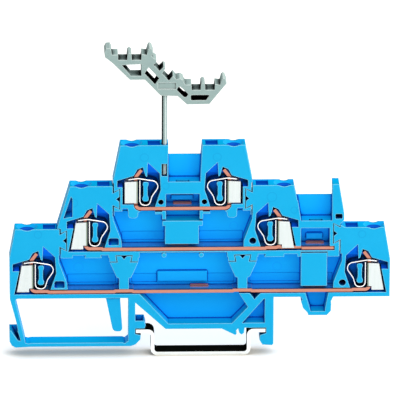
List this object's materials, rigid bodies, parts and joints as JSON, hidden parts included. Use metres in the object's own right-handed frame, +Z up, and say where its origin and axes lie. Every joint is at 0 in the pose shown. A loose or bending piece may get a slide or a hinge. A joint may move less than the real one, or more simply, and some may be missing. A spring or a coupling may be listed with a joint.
{
  "type": "triple level terminal block",
  "caption": "Triple level push-in terminal block of three plugged decks, clipped on a slice of top-hat rail, with a marker carrier on a rod.",
  "frame": {"origin": "middle of the rail's underside, halfway through its thickness", "axes": "+X along the block, to the right in its front view; +Y from its open front to its closed back; +Z up, away from the panel"},
  "size_m": [0.1027, 0.005, 0.088],
  "materials": {
    "blue_housing": "satin",
    "copper_bar": "satin copper",
    "spring_steel": "bright",
    "wire_cage_white": "satin",
    "marker_grey": "matte",
    "rail_steel": "bright"
  },
  "bodies": {
    "rail": {"mounting_rail": "rail_steel"},
    "block": {"upper_deck_housing": "blue_housing", "middle_deck_housing": "blue_housing", "lower_deck_housing": "blue_housing", "upper_busbar": "copper_bar", "middle_busbar": "copper_bar", "lower_busbar": "copper_bar", "upper_left_cage": "wire_cage_white", "upper_right_cage": "wire_cage_white", "middle_left_cage": "wire_cage_white", "middle_right_cage": "wire_cage_white", "lower_left_cage": "wire_cage_white", "lower_right_cage": "wire_cage_white"},
    "rod": {"carrier_rod": "marker_grey"},
    "carrier": {"marker_carrier": "marker_grey"},
    "upper_left_clamp": {"upper_left_spring": "spring_steel"},
    "upper_right_clamp": {"upper_right_spring": "spring_steel"},
    "middle_left_clamp": {"middle_left_spring": "spring_steel"},
    "middle_right_clamp": {"middle_right_spring": "spring_steel"},
    "lower_left_clamp": {"lower_left_spring": "spring_steel"},
    "lower_right_clamp": {"lower_right_spring": "spring_steel"}
  },
  "joints": [
    {"name": "block_slide", "type": "slide", "parent": "rail", "child": "block", "axis": [0, 1, 0], "range_m": [-0.0045, 0.0045]},
    {"name": "rod_pull", "type": "slide", "parent": "block", "child": "rod", "axis": [0, 0, 1], "range_m": [0, 0.008]},
    {"name": "carrier_turn", "type": "hinge", "parent": "rod", "child": "carrier", "pos_m": [-0.01, -0.0011, 0.0755], "axis": [0, 0, 1], "continuous": true},
    {"name": "upper_left_press", "type": "slide", "parent": "block", "child": "upper_left_clamp", "axis": [-1, 0, 0], "range_m": [0, 0.0015], "stiffness_N_per_m": 2000, "deforming": ["upper_left_spring"]},
    {"name": "upper_right_press", "type": "slide", "parent": "block", "child": "upper_right_clamp", "axis": [1, 0, 0], "range_m": [0, 0.0015], "stiffness_N_per_m": 2000, "deforming": ["upper_right_spring"]},
    {"name": "middle_left_press", "type": "slide", "parent": "block", "child": "middle_left_clamp", "axis": [-1, 0, 0], "range_m": [0, 0.0015], "stiffness_N_per_m": 2000, "deforming": ["middle_left_spring"]},
    {"name": "middle_right_press", "type": "slide", "parent": "block", "child": "middle_right_clamp", "axis": [1, 0, 0], "range_m": [0, 0.0015], "stiffness_N_per_m": 2000, "deforming": ["middle_right_spring"]},
    {"name": "lower_left_press", "type": "slide", "parent": "block", "child": "lower_left_clamp", "axis": [-1, 0, 0], "range_m": [0, 0.0015], "stiffness_N_per_m": 2000, "deforming": ["lower_left_spring"]},
    {"name": "lower_right_press", "type": "slide", "parent": "block", "child": "lower_right_clamp", "axis": [1, 0, 0], "range_m": [0, 0.0015], "stiffness_N_per_m": 2000, "deforming": ["lower_right_spring"]}
  ]
}
